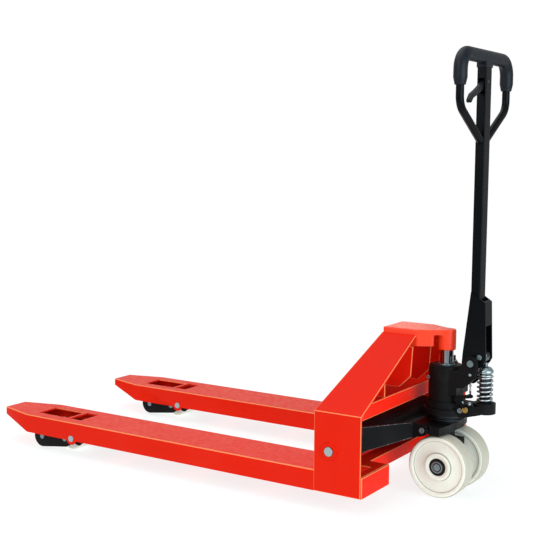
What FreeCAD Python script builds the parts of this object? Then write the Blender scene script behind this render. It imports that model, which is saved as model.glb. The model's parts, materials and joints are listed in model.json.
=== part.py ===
import FreeCAD, Part
import math
import os

from FreeCAD import Vector

os.makedirs("parts", exist_ok=True)

# Hand pallet jack, in millimetres.  +X points to the handle, the forks point to -X, +Z is up and Z = 0 is the
# floor.  While modelling, X = 0 is the rear edge of the fork frame; ORIGIN_X moves the finished solids so that
# the origin is under the middle of the bounding box.  "left" is the -Y side.

# ---- driving dimensions: fork frame ----
FRAME_WIDTH = 685.0
FORK_WIDTH = 157.0
FORK_TIP_X = -1304.0
FORK_TOP = 104.0
FORK_HEIGHT = 56.0
HEEL_TOP = 103.5
PLATE = 5.0
NOSE_LENGTH = 126.0
NOSE_WIDTH = 85.0
NOSE_HEIGHT = 23.0
PANEL_LENGTH = 137.0
PANEL_TOP = 261.5
SHOULDER_TOP = 436.0
SHOULDER_HALF = 58.0
SHOULDER_FRONT = -85.0
SHOULDER_REAR = 16.0
HEAD_REAR = 17.0
HEAD_HALF = 60.0
HEAD_BOTTOM = 403.0
BEAM_BOTTOM = 249.0
BEAM_TOP = 286.0
MEMBER_FRONT = -105.0
MEMBER_REAR = -60.0
MEMBER_BOTTOM = 62.0
MEMBER_TOP = 98.0

# ---- driving dimensions: lift linkage ----
SHAFT_X = -90.0
SHAFT_Z = 160.0
SHAFT_R = 12.5
HUB_R = 21.0
TUBE_R = 41.0
TUBE_HALF = 228.0
EAR_X = 56.0
EAR_Z = 184.0
EAR_Y = 93.0
EAR_THICK = 10.0
ROCKER_LUG = 43.0
ROCKER_LEAN = math.radians(15.2)
ROD_TOP = 97.0
ROD_HEIGHT = 20.0
ROD_WIDTH = 12.0
ROD_PIN_R = 5.0
BRACKET_PIN_X = -991.0
BRACKET_PIN_Z = 54.0
BRACKET_LUG = 35.0
BRACKET_LEAN = math.radians(19.0)
ROLLER_R = 40.0
ROLLER_HALF = 36.0
ROLLER_ARM = 131.6
REAR_ROLLER_DX = -36.5
REAR_ROLLER_Z = 46.0
ROLLER_AXLE_R = 8.0
BRACKET_INNER = 62.0
BRACKET_OUTER = 68.0

# ---- driving dimensions: pump and steering ----
PUMP_X = 81.0
PLATE_BOTTOM = 173.0
PLATE_TOP = 196.0
PLATE_REAR = 106.0
BEARING_BOTTOM = 205.0
BEARING_TOP = 219.0
BEARING_R = 55.0
BEARING_BORE = 35.0
WASHER = 3.5
PUMP_R = 48.0
PUMP_TOP = 353.0
PLUG_X = 87.0
PLUG_Y = 34.0
RAM_R = 18.0
PLUNGER_X = 193.0
EAR_IN = 30.0
EAR_OUT = 41.0
EAR_SCREW_X = 166.0
EAR_SCREW_Z = 339.0
SOCKET_X = 139.0
SOCKET_Z = 238.0
SEAT_BOLT_X = 155.0
SEAT_BOLT_Z = 243.0
BLEED_X = 45.0
BLEED_Z = 320.0
VALVE_PIVOT_X = 132.0
VALVE_PIVOT_Z = 270.0
VALVE_BOLT_X = (143.5, 164.0)
VALVE_BOLT_Y = -35.0
CHAIN_X = 158.0
CHAIN_Y = -16.5
SEAT_TOP = 262.0
GUIDE_R = 14.0
SKIRT_R = 15.6
SPRING_TOP = 341.0
SPRING_R = 19.5
SPRING_WIRE = 5.0
SPRING_TURNS = 6
RIM_TOP = 350.0
DOME_TOP = 359.0
CAP_TOP = 370.0
AXLE_X = 96.3
WHEEL_R = 85.0
WHEEL_WIDTH = 51.0
WHEEL_GAP = 33.0
AXLE_R = 12.5

# ---- driving dimensions: handle ----
PIVOT_X = 167.0
PIVOT_Z = 370.0
PIVOT_R = 8.0
ROLLER_X = 185.0
ROLLER_Z = 386.0
PUMP_ROLLER_R = 15.5
TUBE_X = 165.7
TUBE_DEPTH = 26.0
TUBE_WIDTH = 40.0
TUBE_WALL = 3.0
TUBE_BOTTOM = 412.0
BAR_Z = 1178.0
LOOP_HALF = 161.0
LOOP_R = 10.5
GRIP_R = 18.0
TRIGGER_Z = 1114.0

# ---- derived places ----
FORK_CENTRE = (FRAME_WIDTH - FORK_WIDTH) / 2
HALF_WIDTH = FRAME_WIDTH / 2
FORK_BOTTOM = FORK_TOP - FORK_HEIGHT
INNER_HALF = FORK_WIDTH / 2 - PLATE
REAR_X = PLUNGER_X + 30.0
ORIGIN_X = (FORK_TIP_X + REAR_X) / 2
ARM_DIP = math.asin((BRACKET_PIN_Z - ROLLER_R) / ROLLER_ARM)
FRONT_ROLLER_X = BRACKET_PIN_X - ROLLER_ARM * math.cos(ARM_DIP)
ROD_FRONT_PIN = (BRACKET_PIN_X + BRACKET_LUG * math.sin(BRACKET_LEAN),
                 BRACKET_PIN_Z + BRACKET_LUG * math.cos(BRACKET_LEAN))
ROD_REAR_PIN = (SHAFT_X + ROCKER_LUG * math.sin(ROCKER_LEAN),
                SHAFT_Z - ROCKER_LUG * math.cos(ROCKER_LEAN))
SIDES = {"left": -1, "right": 1}
FIT = 0.05

X_AXIS = Vector(1, 0, 0)
Y_AXIS = Vector(0, 1, 0)
Z_AXIS = Vector(0, 0, 1)


# ---- helpers ----
def box(x0, x1, y0, y1, z0, z1):
    return Part.makeBox(x1 - x0, y1 - y0, z1 - z0, Vector(x0, y0, z0))


def rod_x(radius, x0, x1, y, z):
    return Part.makeCylinder(radius, x1 - x0, Vector(x0, y, z), X_AXIS)


def rod_y(radius, x, y0, y1, z):
    return Part.makeCylinder(radius, y1 - y0, Vector(x, y0, z), Y_AXIS)


def rod_z(radius, x, y, z0, z1):
    return Part.makeCylinder(radius, z1 - z0, Vector(x, y, z0), Z_AXIS)


def prism(points, direction):
    return Part.Face(Part.makePolygon(points + [points[0]])).extrude(direction)


def prism_xz(points, y0, y1):
    return prism([Vector(x, y0, z) for x, z in points], Vector(0, y1 - y0, 0))


def prism_xy(points, z0, z1):
    return prism([Vector(x, y, z0) for x, y in points], Vector(0, 0, z1 - z0))


def prism_yz(points, x0, x1):
    return prism([Vector(x0, y, z) for y, z in points], Vector(x1 - x0, 0, 0))


def fuse(*shapes):
    return shapes[0].multiFuse(list(shapes[1:])).removeSplitter()


def cut(shape, *tools):
    for tool in tools:
        shape = shape.cut(tool)
    return shape


def group(*shapes):
    return Part.makeCompound(list(shapes))


def bar_between(end_a, end_b):
    """Outline of the straight flanks of a link whose ends are circles (x, z, radius)."""
    xa, za, ra = end_a
    xb, zb, rb = end_b
    length = math.hypot(xb - xa, zb - za)
    heading = math.atan2(zb - za, xb - xa)
    flare = math.acos((ra - rb) / length)
    corners = []
    for side in (1, -1):
        angle = heading + side * flare
        pair = [(xa + ra * math.cos(angle), za + ra * math.sin(angle)),
                (xb + rb * math.cos(angle), zb + rb * math.sin(angle))]
        corners += pair if side > 0 else pair[::-1]
    return corners


def link_xz(ends, y0, y1):
    """Flat link in the XZ plane through a chain of circles (x, z, radius)."""
    pieces = [rod_y(r, x, y0, y1, z) for x, z, r in ends]
    pieces += [prism_xz(bar_between(a, b), y0, y1) for a, b in zip(ends, ends[1:])]
    return fuse(*pieces)


def link_yz(ends, x0, x1):
    """Flat link in the YZ plane through a chain of circles (y, z, radius)."""
    pieces = [rod_x(r, x0, x1, y, z) for y, z, r in ends]
    pieces += [prism_yz(bar_between(a, b), x0, x1) for a, b in zip(ends, ends[1:])]
    return fuse(*pieces)


def rounded_path(points, radii):
    """Wire of straight runs joined by tangent arcs; radii belong to the inner points."""
    edges = []
    start = points[0]
    for before, corner, after, radius in zip(points, points[1:], points[2:], radii):
        back = (before - corner).normalize()
        ahead = (after - corner).normalize()
        half = back.getAngle(ahead) / 2
        reach = radius / math.tan(half)
        enter = corner + back * reach
        leave = corner + ahead * reach
        centre = corner + (back + ahead).normalize() * (radius / math.sin(half))
        middle = centre + (corner - centre).normalize() * radius
        edges.append(Part.makeLine(start, enter))
        edges.append(Part.Arc(enter, middle, leave).toShape())
        start = leave
    edges.append(Part.makeLine(start, points[-1]))
    return Part.Wire(edges)


def pipe(wire, radius):
    """Round bar whose centreline is the wire."""
    start = wire.Edges[0].valueAt(wire.Edges[0].FirstParameter)
    heading = wire.Edges[0].tangentAt(wire.Edges[0].FirstParameter)
    profile = Part.Wire(Part.makeCircle(radius, start, heading))
    return wire.makePipeShell([profile], True, False)


def mirrored(shape):
    return shape.mirror(Vector(0, 0, 0), Y_AXIS)


def on_side(shape, side):
    """Shapes are drawn for the -Y side; the +Y one is the mirror image."""
    return shape if side < 0 else mirrored(shape)


def both_sides(shape):
    return group(shape, mirrored(shape))


def save(name, shape):
    moved = shape.copy()
    moved.translate(Vector(-ORIGIN_X, 0, 0))
    moved.exportStep("parts/" + name + ".step")


# ---- lifting frame ----
def fork():
    """One fork on the -Y side: a channel open below, closed and tapered at the nose."""
    centre = -FORK_CENTRE
    bend = FORK_TIP_X + NOSE_LENGTH
    half = FORK_WIDTH / 2
    panel_front = -PANEL_LENGTH

    def plan(tip, tip_half, side_half):
        return [(tip, centre - tip_half), (bend, centre - side_half), (0, centre - side_half),
                (0, centre + side_half), (bend, centre + side_half), (tip, centre + tip_half)]

    body = prism_xy(plan(FORK_TIP_X, NOSE_WIDTH / 2, half), FORK_BOTTOM, FORK_TOP)
    nose_low = FORK_TOP - NOSE_HEIGHT
    under_nose = [(FORK_TIP_X - 1, FORK_BOTTOM - 1), (bend, FORK_BOTTOM - 1), (bend, FORK_BOTTOM),
                  (FORK_TIP_X, nose_low), (FORK_TIP_X - 1, nose_low)]
    body = body.cut(prism_xz(under_nose, centre - half, centre + half))
    inside = plan(FORK_TIP_X + 2 * PLATE, NOSE_WIDTH / 2 - PLATE, INNER_HALF)
    hollow = prism_xy(inside, FORK_BOTTOM - 1, FORK_TOP - PLATE)
    nose_floor = [(FORK_TIP_X, FORK_BOTTOM - 2), (bend, FORK_BOTTOM - 2), (bend, FORK_BOTTOM + PLATE),
                  (FORK_TIP_X, nose_low + PLATE)]
    hollow = hollow.cut(prism_xz(nose_floor, centre - half, centre + half))
    lip = [(FORK_TIP_X + 2 * PLATE, centre - half), (bend, centre - half), (bend, centre + half),
           (FORK_TIP_X + 2 * PLATE, centre + half)]
    hollow = hollow.common(fuse(prism_xy(lip, FORK_BOTTOM - 2, FORK_TOP),
                                box(bend, 1, centre - half, centre + half, FORK_BOTTOM - 2, FORK_TOP)))
    front_hole = box(-1162, -1041, centre - 38, centre + 38, FORK_TOP - 6, FORK_TOP + 1)
    rear_hole = box(-1031, -986, centre - 40, centre + 40, FORK_TOP - 6, FORK_TOP + 1)
    rod_opening = box(panel_front + 6, -22, centre - 28, centre + 28, FORK_TOP - 6, FORK_TOP + 1)
    panel_seat = box(panel_front, 1, centre - half - 1, centre - INNER_HALF, FORK_BOTTOM - 1, FORK_TOP + 1)
    heel_step = box(panel_front, 1, centre - half - 1, centre + half + 1, HEEL_TOP, FORK_TOP + 1)
    body = cut(body, hollow, front_hole, rear_hole, rod_opening, panel_seat, heel_step)
    ears = [rod_y(19, BRACKET_PIN_X, y, y + PLATE, BRACKET_PIN_Z)
            for y in (centre - half, centre + INNER_HALF)]
    bores = rod_y(10 + FIT, BRACKET_PIN_X, centre - half - 1, centre + half + 1, BRACKET_PIN_Z)
    return fuse(body, *ears).cut(bores)


def fork_straps():
    """Flat straps welded across the open underside of a fork."""
    straps = [box(x, x + 60, -FORK_CENTRE - INNER_HALF, -FORK_CENTRE + INNER_HALF, FORK_BOTTOM,
                  FORK_BOTTOM + PLATE) for x in (-860, -600, -340)]
    return straps


def heel_plate():
    """Plate that closes the rear end of a fork."""
    low = -FORK_CENTRE - FORK_WIDTH / 2
    return box(0, PLATE, low, low + FORK_WIDTH, FORK_BOTTOM, HEEL_TOP)


def side_panel():
    """Upright side plate with the sloped shoulder plate that rises to the head."""
    outer = -HALF_WIDTH
    upright = box(-PANEL_LENGTH, 0, outer, outer + PLATE, FORK_BOTTOM, PANEL_TOP)
    corners = [Vector(-PANEL_LENGTH, outer, PANEL_TOP), Vector(0, outer, PANEL_TOP),
               Vector(SHOULDER_REAR, -SHOULDER_HALF, SHOULDER_TOP),
               Vector(SHOULDER_FRONT, -SHOULDER_HALF, SHOULDER_TOP)]
    run = HALF_WIDTH - SHOULDER_HALF
    rise = SHOULDER_TOP - PANEL_TOP
    inward = Vector(0, rise, -run).normalize() * PLATE
    panel = fuse(upright, prism(corners, inward))
    shaft_hole = rod_y(SHAFT_R + FIT, SHAFT_X, outer - 1, outer + PLATE + 1, SHAFT_Z)
    head_seat = box(-200, 100, -SHOULDER_HALF - 2.5, 0, 300, 500)
    return cut(panel, shaft_hole, head_seat)


def shoulder_front_x(z):
    """Front face of the leaning bulkhead at a height."""
    share = (z - PANEL_TOP) / (SHOULDER_TOP - PANEL_TOP)
    return -PANEL_LENGTH + share * (SHOULDER_FRONT + PANEL_LENGTH)


def shoulder_half(z):
    """Half width inside the shoulder plates at a height."""
    share = (z - PANEL_TOP) / (SHOULDER_TOP - PANEL_TOP)
    return HALF_WIDTH - share * (HALF_WIDTH - SHOULDER_HALF)


def bulkhead():
    """Front plate between the side panels, leaning back above the fork heels."""
    low_z = MEMBER_BOTTOM
    top_z = SHOULDER_TOP - 11
    half = HALF_WIDTH - PLATE
    between = FORK_CENTRE - FORK_WIDTH / 2
    front = -PANEL_LENGTH
    upright = fuse(box(front, front + PLATE, -half, half, HEEL_TOP, PANEL_TOP - 8),
                   box(front, front + PLATE, -between, between, low_z, HEEL_TOP + 1))
    gap = 7.0
    z0 = PANEL_TOP - 8
    x0 = front
    x1 = shoulder_front_x(top_z)
    half0 = shoulder_half(PANEL_TOP) - PLATE
    half1 = shoulder_half(top_z) - gap
    seam_z = PANEL_TOP + 2
    half_seam = shoulder_half(seam_z) - gap
    profile = [(-half0, z0), (half0, z0), (half_seam, seam_z), (half1, top_z), (-half1, top_z),
               (-half_seam, seam_z)]
    outline = prism_yz(profile, front - 10, 20)
    lean = [(x0, z0), (x0, PANEL_TOP), (x1, top_z), (x1 + PLATE + 1, top_z), (x0 + PLATE, PANEL_TOP),
            (x0 + PLATE, z0)]
    leaning = prism_xz(lean, -half, half).common(outline)
    head_notch_half = SHOULDER_HALF + 2.5
    head_notch = box(front - 10, 100, -head_notch_half, head_notch_half, HEAD_BOTTOM - 1, 500)
    return cut(fuse(upright, leaning), both_sides(side_panel()), head_notch)


def rear_beam():
    """Flat beam across the rear edges of the side panels, behind the rocker tube."""
    half = HALF_WIDTH - PLATE
    end_half = shoulder_half(BEAM_TOP) - 8
    profile = [(-half, BEAM_BOTTOM), (half, BEAM_BOTTOM), (half, PANEL_TOP - 7), (end_half, BEAM_TOP),
               (-end_half, BEAM_TOP), (-half, PANEL_TOP - 7)]
    return prism_yz(profile, -10, -2).cut(both_sides(side_panel()))


def lower_member():
    """Box tube between the two fork heels."""
    half = FORK_CENTRE - FORK_WIDTH / 2
    outer = box(MEMBER_FRONT, MEMBER_REAR, -half, half, MEMBER_BOTTOM, MEMBER_TOP)
    inner = box(MEMBER_FRONT + PLATE, MEMBER_REAR - PLATE, -half, half, MEMBER_BOTTOM + PLATE,
                MEMBER_TOP - PLATE)
    return outer.cut(inner)


def inner_rib():
    """Upright rib under the head, beside the ram, with its lower rear corner cut away."""
    z0 = BEAM_TOP
    z1 = HEAD_BOTTOM - 1
    setback = PLATE + 2
    corner_z = z0 + 33
    outline = [(shoulder_front_x(z0) + setback, z0), (-31, z0), (3, corner_z), (8, z1),
               (shoulder_front_x(z1) + setback, z1)]
    return prism_xz(outline, -63, -58)


def gusset_rib():
    """Small rib between the rear beam and the shoulder plate."""
    y = -200.0
    share = (HALF_WIDTH + y - PLATE) / (HALF_WIDTH - SHOULDER_HALF)
    roof = PANEL_TOP + share * (SHOULDER_TOP - PANEL_TOP) - PLATE - 1.5
    return box(-30, -4, y - PLATE, y, BEAM_TOP, roof)


def head_plan(inset, tail, tail_half):
    """Plan of the head: straight over the shoulders, then tapered towards the boss."""
    front = SHOULDER_FRONT + inset
    half = HEAD_HALF - inset
    shoulder = HEAD_REAR - inset / 4
    return [(front, -half), (shoulder, -half), (tail, -tail_half), (tail, tail_half), (shoulder, half),
            (front, half)]


def head_casting():
    """Cast head: a shallow inverted tray, open to the rear, whose roof runs on to the boss for the ram."""
    wall = 8.0
    tray = prism_xy(head_plan(0, 56, 38), HEAD_BOTTOM, 449)
    tray = tray.cut(prism_xy(head_plan(wall, 60, 26.5), HEAD_BOTTOM - 1, 437))
    bridge = prism_xy([(HEAD_REAR - 12, -HEAD_HALF), (HEAD_REAR, -HEAD_HALF), (PUMP_X, -24), (PUMP_X, 24),
                       (HEAD_REAR, HEAD_HALF), (HEAD_REAR - 12, HEAD_HALF)], 434, 449)
    boss = rod_z(24, PUMP_X, 0, 393, 450)
    bore = rod_z(RAM_R + FIT, PUMP_X, 0, 392, 430)
    return fuse(tray, bridge, boss).cut(bore)


def lift_ram():
    ram = rod_z(RAM_R, PUMP_X, 0, 235, 429)
    return ram.makeChamfer(2, [ram.Edges[0]])


def rocker_shaft():
    return rod_y(SHAFT_R, SHAFT_X, -HALF_WIDTH - 8, HALF_WIDTH + 8, SHAFT_Z)


def shaft_collars():
    ring = rod_y(HUB_R, SHAFT_X, -HALF_WIDTH - 5, -HALF_WIDTH, SHAFT_Z)
    return both_sides(ring.cut(rod_y(SHAFT_R + FIT, SHAFT_X, -HALF_WIDTH - 6, 0, SHAFT_Z)))


def bracket_pins():
    """Four stub pins that carry the roller brackets in the fork walls."""
    pins = []
    for sign in (-1, 1):
        inner = -FORK_CENTRE + sign * (BRACKET_INNER - 0.5)
        outer = -FORK_CENTRE + sign * (FORK_WIDTH / 2 + 1.5)
        pins.append(rod_y(10, BRACKET_PIN_X, min(inner, outer), max(inner, outer), BRACKET_PIN_Z))
    return group(*[on_side(pin, side) for side in SIDES.values() for pin in pins])


def bracket_spacers():
    """Spacer sleeves between the roller brackets and the fork walls."""
    sleeves = []
    for sign in (-1, 1):
        ends = sorted([-FORK_CENTRE + sign * (BRACKET_OUTER + 0.5), -FORK_CENTRE + sign * INNER_HALF])
        sleeve = rod_y(15, BRACKET_PIN_X, ends[0], ends[1], BRACKET_PIN_Z)
        sleeves.append(sleeve.cut(rod_y(10 + FIT, BRACKET_PIN_X, ends[0] - 1, ends[1] + 1, BRACKET_PIN_Z)))
    return group(*[on_side(sleeve, side) for side in SIDES.values() for sleeve in sleeves])


# ---- rocker and push rods ----
def rocker():
    """Torsion tube on hub ends, two arms that converge on the thrust plate, and lugs for the push rods."""
    half = HALF_WIDTH - PLATE - 1.5
    hub = rod_y(HUB_R, SHAFT_X, -half, half, SHAFT_Z)
    wide = rod_y(TUBE_R, SHAFT_X, -TUBE_HALF, TUBE_HALF, SHAFT_Z)
    hollow = rod_y(TUBE_R - 6, SHAFT_X, -TUBE_HALF + 8, TUBE_HALF - 8, SHAFT_Z)
    tube = fuse(wide.cut(hollow), hub)
    bore = rod_y(SHAFT_R + FIT, SHAFT_X, -half - 1, half + 1, SHAFT_Z)
    ear_out = -EAR_Y - EAR_THICK / 2
    ear_in = ear_out + EAR_THICK
    knee_x = 28.0
    root_x = SHAFT_X - 8
    root_y = -300.0
    plan = [(root_x, root_y), (root_x + 14, root_y - 8), (knee_x, ear_out), (EAR_X + 30, ear_out),
            (EAR_X + 30, ear_in), (knee_x - 6, ear_in)]
    side_view = link_xz([(SHAFT_X, SHAFT_Z + 10, 40), (EAR_X, EAR_Z, 16)], -400, 0)
    arm = prism_xy(plan, 80, 260).common(side_view)
    pin_x, pin_z = ROD_REAR_PIN
    lugs = []
    for y in (-FORK_CENTRE - 15, -FORK_CENTRE + 7):
        lug = link_xz([(SHAFT_X, SHAFT_Z, HUB_R), (pin_x, pin_z, 12)], y, y + 8)
        lugs.append(lug.cut(rod_y(ROD_PIN_R + FIT, pin_x, y - 1, y + 9, pin_z)))
    ear_hole = rod_y(6 + FIT, EAR_X, ear_out - 1, ear_in + 1, EAR_Z)
    half_rocker = [arm.cut(ear_hole)] + lugs
    return fuse(tube, *half_rocker, *[mirrored(piece) for piece in half_rocker]).cut(bore)


def ear_pin():
    """Pin from a rocker ear into the groove of the thrust plate."""
    ear_out = -EAR_Y - EAR_THICK / 2
    shank = rod_y(6, EAR_X, ear_out, -66, EAR_Z)
    dimple = rod_y(3.5, EAR_X, ear_out - 6, ear_out - 2, EAR_Z)
    head = rod_y(7.8, EAR_X, ear_out - 4, ear_out, EAR_Z).cut(dimple)
    return fuse(shank, head)


def rod_pin():
    """Pin that joins a push rod to its rocker lugs."""
    x, z = ROD_REAR_PIN
    pin = rod_y(ROD_PIN_R, x, -FORK_CENTRE - 18, -FORK_CENTRE + 18, z)
    head = rod_y(8, x, -FORK_CENTRE - 21, -FORK_CENTRE - 15.5, z)
    return fuse(pin, head)


def eye_slot(x, z, y0, y1):
    """Upright slot for a pin: the pin's arc is taken up by its height."""
    radius = ROD_PIN_R + 0.6
    rise = 2.4
    return link_xz([(x, z - rise, radius), (x, z + rise, radius)], y0, y1)


def push_rod():
    """Flat push rod inside a fork, with an upright end plate at the rocker."""
    y0 = -FORK_CENTRE - ROD_WIDTH / 2
    y1 = y0 + ROD_WIDTH
    front_x, front_z = ROD_FRONT_PIN
    rear_x, rear_z = ROD_REAR_PIN
    bar = box(front_x - 12, rear_x + 14, y0, y1, ROD_TOP - ROD_HEIGHT, ROD_TOP)
    foot = [(rear_x - 20, ROD_TOP - 2), (rear_x + 14, ROD_TOP - 2), (rear_x + 10, rear_z),
            (rear_x - 10, rear_z)]
    end_plate = fuse(prism_xz(foot, y0, y1), rod_y(10, rear_x, y0, y1, rear_z))
    rod = fuse(bar, end_plate)
    return cut(rod, eye_slot(front_x, front_z, y0 - 1, y1 + 1), eye_slot(rear_x, rear_z, y0 - 1, y1 + 1))


# ---- roller brackets ----
def load_roller_places():
    return {"front": (FRONT_ROLLER_X, ROLLER_R), "rear": (BRACKET_PIN_X + REAR_ROLLER_DX, REAR_ROLLER_Z)}


def roller_bracket():
    """Two broad side plates, a cross bar and the rod lugs, turning on the stub pins."""
    axle_places = list(load_roller_places().values())
    front = axle_places[0] + (32,)
    second = axle_places[1] + (25,)
    pivot = (BRACKET_PIN_X, BRACKET_PIN_Z, 15)
    bar = (BRACKET_PIN_X + 21, BRACKET_PIN_Z - 12, 9)
    lug = ROD_FRONT_PIN + (7.5,)
    pieces = []
    for inward, outer in ((1, -BRACKET_OUTER), (-1, BRACKET_OUTER)):
        y0, y1 = sorted((outer, outer + inward * (BRACKET_OUTER - BRACKET_INNER)))
        y0 -= FORK_CENTRE
        y1 -= FORK_CENTRE
        plate = link_xz([front, second, pivot, bar], y0, y1)
        boss_ends = sorted((outer + inward, inward * -(ROLLER_HALF + 0.5)))
        bosses = [rod_y(12.5, x, boss_ends[0] - FORK_CENTRE, boss_ends[1] - FORK_CENTRE, z)
                  for x, z in axle_places]
        pieces.append(fuse(plate, *bosses).cut(rod_y(10 + FIT, pivot[0], y0 - 1, y1 + 1, pivot[1])))
    for y in (-FORK_CENTRE - 14, -FORK_CENTRE + 8):
        pieces.append(link_xz([bar, lug], y, y + 6))
    reach = BRACKET_OUTER - 2
    pieces.append(rod_y(6, bar[0], -FORK_CENTRE - reach, -FORK_CENTRE + reach, bar[1]))
    low = -FORK_CENTRE - FORK_WIDTH
    holes = [rod_y(ROLLER_AXLE_R, x, low, low + 2 * FORK_WIDTH, z) for x, z in axle_places]
    return cut(fuse(*pieces), *holes, rod_y(ROD_PIN_R, lug[0], low, low + 2 * FORK_WIDTH, lug[1]))


def bracket_axles():
    """The two roller axles and the push rod pin of one roller bracket."""
    low = -FORK_CENTRE - BRACKET_OUTER - 1.5
    high = -FORK_CENTRE + BRACKET_OUTER + 1.5
    axles = [rod_y(ROLLER_AXLE_R, x, low, high, z) for x, z in load_roller_places().values()]
    x, z = ROD_FRONT_PIN
    return group(*axles, rod_y(ROD_PIN_R, x, -FORK_CENTRE - 16, -FORK_CENTRE + 16, z))


def load_roller(x, z):
    """Solid tread with a counterbore at each end for its bearing."""
    y0 = -FORK_CENTRE - ROLLER_HALF
    y1 = -FORK_CENTRE + ROLLER_HALF
    tread = rod_y(ROLLER_R, x, y0, y1, z)
    tread = tread.makeChamfer(2.5, [edge for edge in tread.Edges if edge.Closed])
    return cut(tread, rod_y(13, x, y0 - 1, y1 + 1, z), rod_y(20, x, y0 - 1, y0 + 14, z),
               rod_y(20, x, y1 - 14, y1 + 1, z))


def load_roller_bearings(x, z):
    rings = []
    for y0 in (-FORK_CENTRE - ROLLER_HALF + 1, -FORK_CENTRE + ROLLER_HALF - 14):
        bore = rod_y(ROLLER_AXLE_R + FIT, x, y0 - 1, y0 + 14, z)
        rings.append(rod_y(20, x, y0, y0 + 13, z).cut(bore))
    return group(*rings)


# ---- thrust plate ----
def thrust_plate():
    """Thick plate under the pump; grooves in its sides take the ear pins."""
    ear_in = EAR_Y - EAR_THICK / 2
    inner = ear_in - 2.0
    cheek_x = EAR_X + 20
    outer = EAR_Y + 3
    bow = PLATE_REAR + 8
    plan = [(20, -60), (30, -inner), (cheek_x, -inner), (cheek_x, -outer), (PLATE_REAR, -outer), (bow, -50),
            (bow, 50), (PLATE_REAR, outer), (cheek_x, outer), (cheek_x, inner), (30, inner), (20, 60)]
    plate = fuse(prism_xy(plan, PLATE_BOTTOM, PLATE_TOP),
                 rod_z(BEARING_BORE + 5, PUMP_X, 0, PLATE_TOP - 1, BEARING_BOTTOM))
    groove = box(30, 64, -inner - 1, -62, PLATE_BOTTOM - 1, EAR_Z + 8.2)
    return cut(plate, rod_z(29, PUMP_X, 0, PLATE_BOTTOM - 1, BEARING_BOTTOM + 1), groove, mirrored(groove))


def ring_z(outer, inner, z0, z1):
    return rod_z(outer, PUMP_X, 0, z0, z1).cut(rod_z(inner, PUMP_X, 0, z0 - 1, z1 + 1))


def ball_ring():
    """Ball cage of the thrust bearing."""
    middle_z = (BEARING_BOTTOM + BEARING_TOP) / 2
    cage = ring_z(54, 36, middle_z - 1.2, middle_z + 1.2)
    balls = []
    for step in range(16):
        angle = math.radians(step * 360 / 16)
        place = Vector(PUMP_X + 45 * math.cos(angle), 45 * math.sin(angle), middle_z)
        balls.append(Part.makeSphere(3.2, place))
    return fuse(cage, *balls)


# ---- pump, turning with the steering ----
def pump_housing():
    """Pump casting: base flange, plunger block with its guide, cylinder, ears and the steering yoke."""
    flange = rod_z(61, PUMP_X, 0, BEARING_TOP, 236)
    shoulder = rod_z(54, PUMP_X, 0, 236, 255)
    barrel = rod_z(PUMP_R, PUMP_X, 0, 232, PUMP_TOP - 8)
    block = prism_xy([(PUMP_X, -36), (160, -34), (PLUNGER_X, -30), (PLUNGER_X, 30), (160, 34), (PUMP_X, 36)],
                     BEARING_TOP, 252)
    lower = [(PUMP_X, BEARING_TOP), (150, BEARING_TOP), (PLUNGER_X + 5, 232), (PLUNGER_X + 5, 262), (150, 262),
             (PUMP_X, 262)]
    block = block.common(prism_xz(lower, -40, 40))
    seat = rod_z(30, PLUNGER_X, 0, 232, SEAT_TOP - 2)
    seat_floor = rod_z(23, PLUNGER_X, 0, 240, SEAT_TOP)
    guide = rod_z(GUIDE_R, PLUNGER_X, 0, 240, 300)
    ear_outline = [(100, 276), (128, 276), (128, 298), (150, 302), (180, 330), (185, 362),
                   (PIVOT_X, PIVOT_Z + 17), (PIVOT_X - 13, PIVOT_Z + 12), (128, 345), (100, 345)]
    ear = fuse(prism_xz(ear_outline, -EAR_OUT, -EAR_IN), rod_y(18, PIVOT_X, -EAR_OUT, -EAR_IN, PIVOT_Z))
    web = box(112, 128, -EAR_OUT, EAR_OUT, 276, 345)
    valve_boss = rod_y(12, SOCKET_X, -41, -20, SOCKET_Z)
    seat_boss = rod_y(8.9, SEAT_BOLT_X, -41, -20, SEAT_BOLT_Z)
    spigot = rod_z(27, PUMP_X, 0, 118, BEARING_TOP)
    yoke = fuse(box(AXLE_X - 40, AXLE_X + 30, -29, 29, 108, 150),
                box(AXLE_X - 24, AXLE_X + 24, -30, 30, 60, 125),
                rod_y(24, AXLE_X, -31.5, 31.5, WHEEL_R))
    body = fuse(flange, shoulder, barrel, block, seat, seat_floor, guide, ear, mirrored(ear), web, valve_boss,
                seat_boss, spigot, yoke)
    holes = [rod_z(RAM_R + FIT, PUMP_X, 0, 215, PUMP_TOP + 1), rod_z(9 + FIT, PLUNGER_X, 0, 234, 301),
             rod_y(PIVOT_R, PIVOT_X, -60, 60, PIVOT_Z), rod_y(AXLE_R, AXLE_X, -60, 60, WHEEL_R),
             rod_y(7, SOCKET_X, -43, -34, SOCKET_Z), rod_y(5, SEAT_BOLT_X, -42, -34, SEAT_BOLT_Z),
             rod_y(3.6, BLEED_X, -45, -31.8, BLEED_Z),
             rod_y(2.6, EAR_SCREW_X, -EAR_OUT - 1, -EAR_OUT + 6, EAR_SCREW_Z),
             rod_z(7, PLUG_X, PLUG_Y, 338, 360)]
    return cut(body, *holes)


def reservoir_cap():
    """Stepped cover on the pump cylinder, with the hole for the filler plug."""
    cap = fuse(rod_z(PUMP_R - 1, PUMP_X, 0, PUMP_TOP - 8, PUMP_TOP - 2),
               rod_z(41, PUMP_X, 0, PUMP_TOP - 3, PUMP_TOP))
    return cap.cut(rod_z(24, PUMP_X, 0, PUMP_TOP - 9, PUMP_TOP + 1)).cut(rod_z(7, PLUG_X, PLUG_Y, 340, 360))


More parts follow.
